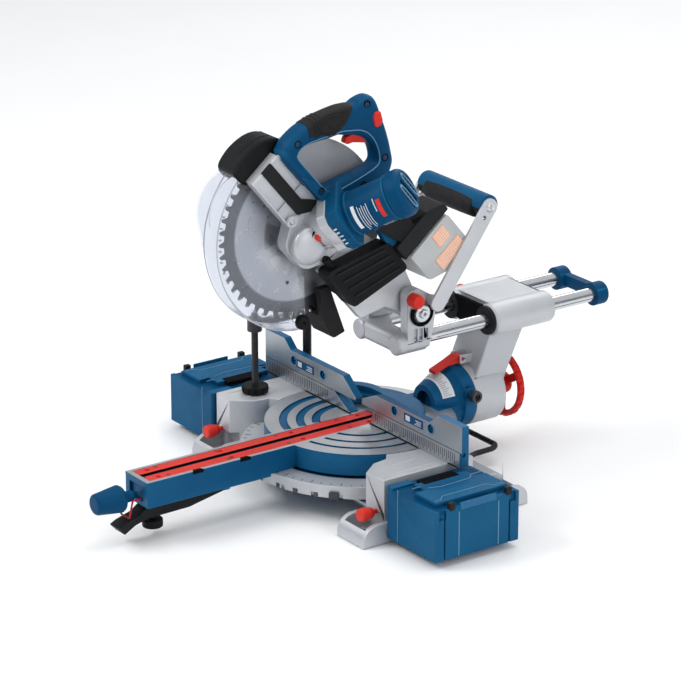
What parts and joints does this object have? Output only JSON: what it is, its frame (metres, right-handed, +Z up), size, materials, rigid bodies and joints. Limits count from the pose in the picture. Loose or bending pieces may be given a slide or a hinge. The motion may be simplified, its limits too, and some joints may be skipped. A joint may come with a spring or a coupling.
{
  "type": "sliding compound mitre saw",
  "caption": "Cordless sliding mitre saw with turntable, bevelling arm, twin rails, raised saw head, sliding fences, side supports and a work clamp.",
  "frame": {"origin": "on the bench surface directly under the mitre pivot, which is the centre of the four base bolt holes", "axes": "+X right along the fence as the operator sees it, +Y away from the operator, +Z up"},
  "size_m": [0.651, 0.8504, 0.5809],
  "materials": {
    "silver_casting": "satin cast",
    "machined_plate": "fine machined",
    "blue_casting": "blue painted casting",
    "blue_plastic": "satin",
    "black_plastic": "matte",
    "black_steel": "satin black",
    "red_plastic": "satin",
    "red_wire": "satin",
    "chromed_rail": "polished",
    "bright_steel": "ground",
    "grey_guard": "satin",
    "clear_guard": "clear",
    "rubber": "matte",
    "pale_pack": "satin"
  },
  "bodies": {
    "base": {"base_pan": "blue_casting", "base_wing_left": "silver_casting", "base_wing_right": "silver_casting", "mitre_scale": "silver_casting", "rear_wire_bracket": "black_steel", "fixed_fence": "silver_casting", "fence_bolts": "black_steel"},
    "side_support_left": {"support_left": "blue_plastic", "support_rods_left": "bright_steel"},
    "side_support_right": {"support_right": "blue_plastic", "support_rods_right": "bright_steel"},
    "support_lock_left": {"support_lock_left": "red_plastic"},
    "support_lock_right": {"support_lock_right": "red_plastic"},
    "fence_left": {"sliding_fence_left": "silver_casting"},
    "fence_right": {"sliding_fence_right": "silver_casting"},
    "clamp": {"clamp_arm": "black_steel"},
    "clamp_screw": {"clamp_spindle": "bright_steel", "clamp_pad": "black_plastic"},
    "turntable": {"turntable_casting": "blue_casting", "pivot_washer": "bright_steel", "table_plate": "machined_plate", "kerf_inserts": "red_plastic", "arm_foot": "black_plastic", "detent_clip": "red_wire"},
    "mitre_knob": {"mitre_knob": "blue_plastic"},
    "detent_lever": {"detent_lever": "black_plastic"},
    "bevel_arm": {"swan_neck": "silver_casting", "bearing_covers": "black_plastic"},
    "bevel_wheel": {"bevel_wheel": "red_plastic"},
    "bevel_lever": {"bevel_lever": "red_plastic"},
    "carriage": {"rail_left": "chromed_rail", "rail_right": "chromed_rail", "rail_end_cap": "blue_plastic", "rail_head": "silver_casting", "hinge_bolt": "bright_steel", "carry_arm_left": "silver_casting", "carry_arm_right": "silver_casting", "carry_grip_upper": "blue_plastic", "carry_grip_lower": "black_plastic"},
    "slide_lock": {"slide_lock": "red_plastic"},
    "head_lock": {"head_lock": "red_plastic"},
    "head": {"upper_guard": "grey_guard", "front_cover": "black_plastic", "gear_housing": "silver_casting", "motor_housing": "blue_plastic", "motor_end_cap": "blue_plastic", "handle_frame": "blue_plastic", "handle_screws": "black_steel", "head_arm": "silver_casting", "dust_cover": "black_plastic", "dust_chute": "rubber", "battery_dock": "black_plastic"},
    "blade": {"saw_blade": "bright_steel", "arbor": "bright_steel"},
    "lower_guard": {"lower_guard": "clear_guard", "guard_roller": "black_plastic"},
    "trigger": {"trigger": "red_plastic"},
    "lock_off": {"lock_off": "red_plastic"},
    "spindle_lock": {"spindle_lock": "red_plastic"},
    "battery": {"battery_pack": "pale_pack"}
  },
  "joints": [
    {"name": "mitre_turn", "type": "hinge", "parent": "base", "child": "turntable", "pos_m": [0, 0, 0.075], "axis": [0, 0, 1], "range_deg": [-47, 47]},
    {"name": "bevel_tilt", "type": "hinge", "parent": "turntable", "child": "bevel_arm", "pos_m": [0, 0.2, 0.09], "axis": [0, 1, 0], "range_deg": [-47, 47]},
    {"name": "rail_slide", "type": "slide", "parent": "bevel_arm", "child": "carriage", "axis": [0, 1, 0], "range_m": [-0.078, 0.096]},
    {"name": "chop", "type": "hinge", "parent": "carriage", "child": "head", "pos_m": [0, 0.064, 0.253], "axis": [-1, 0, 0], "range_deg": [-50, 0], "stiffness_Nm_per_rad": 14, "springref_deg": 74.48},
    {"name": "guard_retract", "type": "hinge", "parent": "head", "child": "lower_guard", "pos_m": [0, -0.11067, 0.39427], "axis": [1, 0, 0], "range_deg": [-105, 0]},
    {"name": "blade_spin", "type": "hinge", "parent": "head", "child": "blade", "pos_m": [0, -0.11067, 0.39427], "axis": [1, 0, 0], "continuous": true},
    {"name": "fence_left_slide", "type": "slide", "parent": "base", "child": "fence_left", "axis": [1, 0, 0], "range_m": [-0.09, 0]},
    {"name": "fence_right_slide", "type": "slide", "parent": "base", "child": "fence_right", "axis": [1, 0, 0], "range_m": [0, 0.09]},
    {"name": "support_left_slide", "type": "slide", "parent": "base", "child": "side_support_left", "axis": [-1, 0, 0], "range_m": [0, 0.12]},
    {"name": "support_right_slide", "type": "slide", "parent": "base", "child": "side_support_right", "axis": [1, 0, 0], "range_m": [0, 0.12]},
    {"name": "support_lock_left_turn", "type": "hinge", "parent": "base", "child": "support_lock_left", "pos_m": [-0.19, -0.11, 0.04], "axis": [0, -1, 0], "range_deg": [0, 180]},
    {"name": "support_lock_right_turn", "type": "hinge", "parent": "base", "child": "support_lock_right", "pos_m": [0.19, -0.11, 0.04], "axis": [0, -1, 0], "range_deg": [0, 180]},
    {"name": "clamp_swivel", "type": "hinge", "parent": "base", "child": "clamp", "pos_m": [-0.175, 0.03, 0.07], "axis": [0, 0, 1], "range_deg": [-90, 25]},
    {"name": "clamp_screw_travel", "type": "slide", "parent": "clamp", "child": "clamp_screw", "axis": [0, 0, 1], "range_m": [0, 0.05]},
    {"name": "mitre_knob_turn", "type": "hinge", "parent": "turntable", "child": "mitre_knob", "pos_m": [0, -0.4, 0.065], "axis": [0, 1, 0], "range_deg": [0, 180]},
    {"name": "detent_lever_press", "type": "hinge", "parent": "turntable", "child": "detent_lever", "pos_m": [0, -0.238, 0.047], "axis": [1, 0, 0], "range_deg": [0, 2], "stiffness_Nm_per_rad": 2, "springref_deg": -8.59},
    {"name": "bevel_wheel_turn", "type": "hinge", "parent": "turntable", "child": "bevel_wheel", "pos_m": [0, 0.24, 0.09], "axis": [0, 1, 0], "range_deg": [0, 180]},
    {"name": "bevel_lever_lift", "type": "hinge", "parent": "bevel_arm", "child": "bevel_lever", "pos_m": [0, 0.173, 0.1465], "axis": [-1, 0, 0], "range_deg": [0, 20]},
    {"name": "slide_lock_turn", "type": "hinge", "parent": "bevel_arm", "child": "slide_lock", "pos_m": [-0.07, 0.236, 0.214], "axis": [-1, 0, 0], "range_deg": [0, 180]},
    {"name": "head_lock_pull", "type": "slide", "parent": "carriage", "child": "head_lock", "axis": [1, 0, 0], "range_m": [0, 0.012]},
    {"name": "trigger_pull", "type": "slide", "parent": "head", "child": "trigger", "axis": [0, -0.284, 0.9588], "range_m": [0, 0.004], "stiffness_N_per_m": 400, "springref_m": -0.004},
    {"name": "lock_off_press", "type": "slide", "parent": "head", "child": "lock_off", "axis": [0, -0.766, -0.6428], "range_m": [0, 0.003], "stiffness_N_per_m": 400, "springref_m": -0.003},
    {"name": "spindle_lock_press", "type": "slide", "parent": "head", "child": "spindle_lock", "axis": [-1, 0, 0], "range_m": [0, 0.002], "stiffness_N_per_m": 400, "springref_m": -0.002},
    {"name": "battery_release", "type": "slide", "parent": "head", "child": "battery", "axis": [0, 0.766, 0.6428], "range_m": [0, 0.025]}
  ],
  "couplings": [
    {"joint": "guard_retract", "follows": "chop", "ratio": 2.1}
  ]
}
